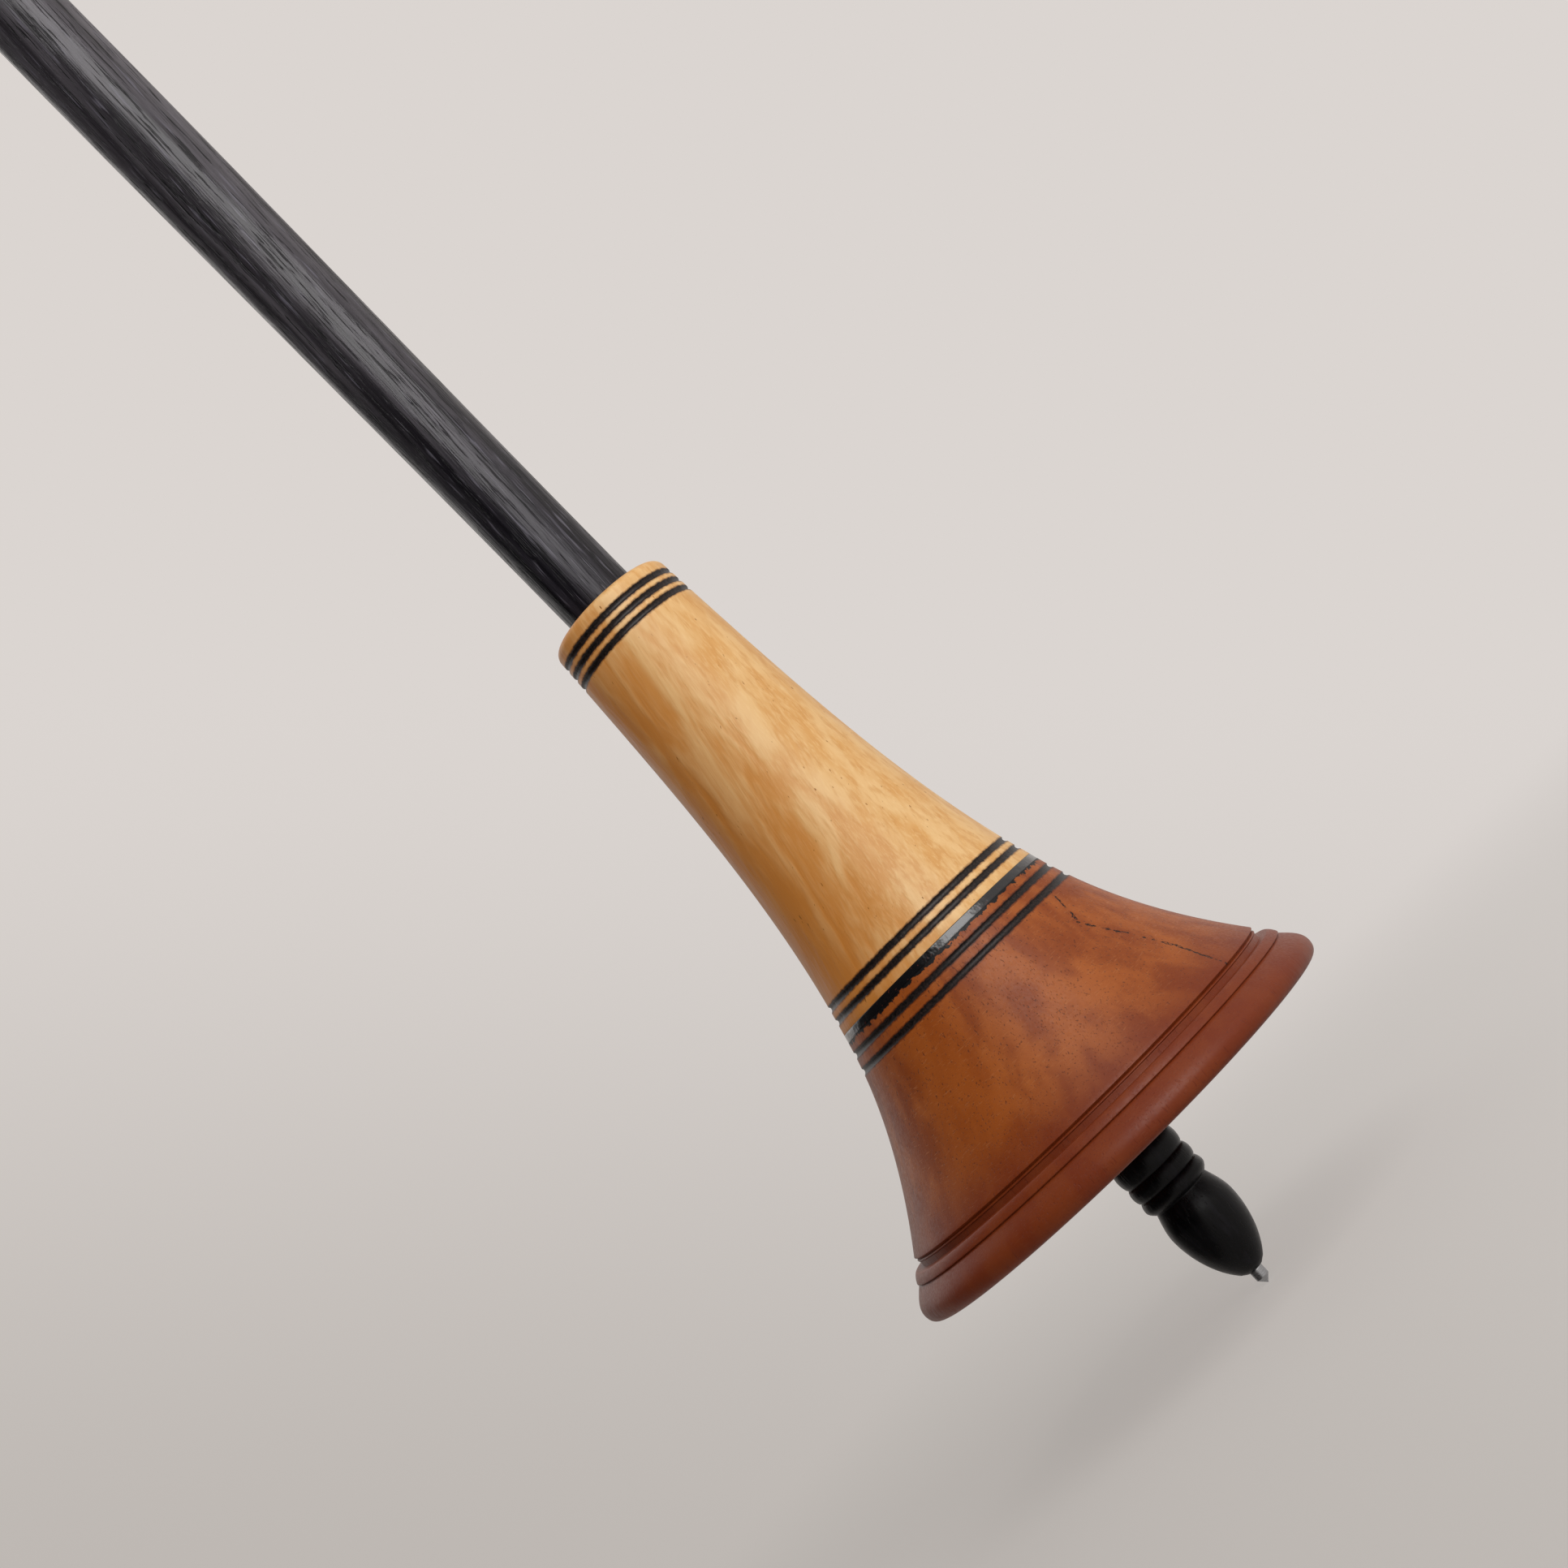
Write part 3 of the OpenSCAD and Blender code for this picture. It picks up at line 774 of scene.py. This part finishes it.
def set_world():
    """The backdrop for the camera, and a plain even light for everything else."""
    world = bpy.data.worlds.new("studio")
    bpy.context.scene.world = world
    world.use_nodes = True
    tree = world.node_tree
    direction = tree.nodes.new("ShaderNodeTexCoord").outputs["Generated"]
    light = tree.nodes["Background"]
    light.inputs["Color"].default_value = (1, 0.985, 0.97, 1)
    light.inputs["Strength"].default_value = WORLD_LIGHT
    backdrop = tree.nodes.new("ShaderNodeBackground")
    tree.links.new(backdrop_colour(tree, direction), backdrop.inputs["Color"])
    tree.links.new(mirrored_level(tree, direction), backdrop.inputs["Strength"])
    mix = tree.nodes.new("ShaderNodeMixShader")
    tree.links.new(seen_directly(tree), mix.inputs[0])
    tree.links.new(light.outputs[0], mix.inputs[1])
    tree.links.new(backdrop.outputs[0], mix.inputs[2])
    tree.links.new(mix.outputs[0], tree.nodes["World Output"].inputs["Surface"])


def make_floor():
    """A plain pale floor under the tip, which keeps a soft shadow and ends softly in the backdrop."""
    bpy.ops.object.select_all(action="DESELECT")
    bpy.ops.mesh.primitive_circle_add(vertices=96, radius=FLOOR_SIZE, fill_type="NGON")
    floor = bpy.context.object
    floor.name = "floor"
    material = bpy.data.materials.new("pale floor")
    material.use_nodes = True
    tree = material.node_tree
    tree.nodes.remove(tree.nodes["Principled BSDF"])
    distance = tree.nodes.new("ShaderNodeVectorMath")
    distance.operation = "LENGTH"
    tree.links.new(tree.nodes.new("ShaderNodeTexCoord").outputs["Object"], distance.inputs[0])
    fade = tree.nodes.new("ShaderNodeMapRange")
    fade.interpolation_type = "SMOOTHSTEP"
    for index, value in enumerate((*FLOOR_FADE, 1 - FLOOR_SHADOW, 1)):
        fade.inputs[index + 1].default_value = value
    tree.links.new(distance.outputs["Value"], fade.inputs[0])
    seen_through = tree.nodes.new("ShaderNodeMath")
    seen_through.operation = "MULTIPLY"
    tree.links.new(seen_directly(tree), seen_through.inputs[0])
    tree.links.new(fade.outputs[0], seen_through.inputs[1])
    clear = tree.nodes.new("ShaderNodeMath")
    clear.operation = "MAXIMUM"
    tree.links.new(seen_through.outputs[0], clear.inputs[0])
    tree.links.new(tree.nodes.new("ShaderNodeNewGeometry").outputs["Backfacing"], clear.inputs[1])
    paint = tree.nodes.new("ShaderNodeBsdfDiffuse")
    paint.inputs["Color"].default_value = FLOOR_PAINT
    mix = tree.nodes.new("ShaderNodeMixShader")
    tree.links.new(clear.outputs[0], mix.inputs[0])
    tree.links.new(paint.outputs[0], mix.inputs[1])
    tree.links.new(tree.nodes.new("ShaderNodeBsdfTransparent").outputs[0], mix.inputs[2])
    tree.links.new(mix.outputs[0], tree.nodes["Material Output"].inputs["Surface"])
    floor.data.materials.append(material)


def softbox(name, azimuth, elevation, distance, width, height, brightness, target, mirrored=True):
    """A soft lamp aimed at a height on the spindle's axis, in metres and degrees.

    Azimuth 0 is the camera's side and 90 is +X. A lamp that isn't mirrored lights things but makes no gloss.
    """
    a, e = math.radians(azimuth), math.radians(elevation)
    towards = Vector((math.sin(a) * math.cos(e), -math.cos(a) * math.cos(e), math.sin(e)))
    lamp = bpy.data.lights.new(name, "AREA")
    lamp.shape = "RECTANGLE"
    lamp.size = width
    lamp.size_y = height
    lamp.energy = brightness * math.pi * width * height
    holder = bpy.data.objects.new(name, lamp)
    bpy.context.scene.collection.objects.link(holder)
    holder.location = Vector((0, 0, target)) + towards * distance
    holder.rotation_euler = towards.to_track_quat("Z", "Y").to_euler()
    holder.visible_camera = False
    holder.visible_glossy = mirrored


def set_camera():
    """The photograph's camera: low in front of the whorl, tilted up a little and rolled nearly 45 degrees."""
    lens = bpy.data.cameras.new("camera")
    lens.sensor_width = SENSOR_WIDTH
    lens.lens = SENSOR_WIDTH * FOCAL_PIXELS / PHOTO_PIXELS
    lens.clip_start = 0.01
    lens.clip_end = 20
    camera = bpy.data.objects.new("camera", lens)
    bpy.context.scene.collection.objects.link(camera)
    pitch, roll = math.radians(CAMERA_PITCH), math.radians(CAMERA_ROLL)
    forward = Vector((0, math.cos(pitch), math.sin(pitch)))
    level = Vector((1, 0, 0))
    upright = level.cross(forward)
    right = level * math.cos(roll) - upright * math.sin(roll)
    up = level * math.sin(roll) + upright * math.cos(roll)
    turned_camera = Matrix((right, up, -forward)).transposed().to_4x4()
    camera.matrix_world = Matrix.Translation([c * MM for c in CAMERA_PLACE]) @ turned_camera
    bpy.context.scene.camera = camera


# Width and focal length of the photograph in its pixels, and of the camera's sensor in millimetres
PHOTO_PIXELS = 1932
FOCAL_PIXELS = 2910
SENSOR_WIDTH = 36
# Where the photograph was taken from, and its upward tilt and its roll in degrees
CAMERA_PLACE = (0.33, -224.6, 38.01)
CAMERA_PITCH = 6.787
CAMERA_ROLL = 44.51

set_camera()

shaft = make_shaft()
scrape_by_hand(shaft, depth=0.05, patch=5, stretch=8)

PIECES = [
    (shaft, "shaft", "dark_oak", dark_oak()),
    (make_neck(), "neck", "pale_boxwood", pale_boxwood()),
    (make_joint_band(), "joint_band", "black_resin", black_resin()),
    (make_bell(), "bell", "red_fruitwood", red_fruitwood()),
    (make_foot(), "foot", "ebony", ebony()),
    (make_steel_point(), "steel_point", "steel", steel()),
]
for piece, node, slot, finish in PIECES:
    piece.data.materials.append(finish)
    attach(piece, "root")
    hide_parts(node)

set_world()
make_floor()
softbox("window", 26, 36, 0.7, 0.5, 0.6, 4.4, 0.06)
softbox("side fill", 88, 15, 0.9, 0.6, 0.8, 1.5, 0.1, mirrored=False)
softbox("back fill", -140, 30, 0.9, 0.6, 0.8, 0.5, 0.12)

scene = bpy.context.scene
scene.view_settings.view_transform = "Standard"
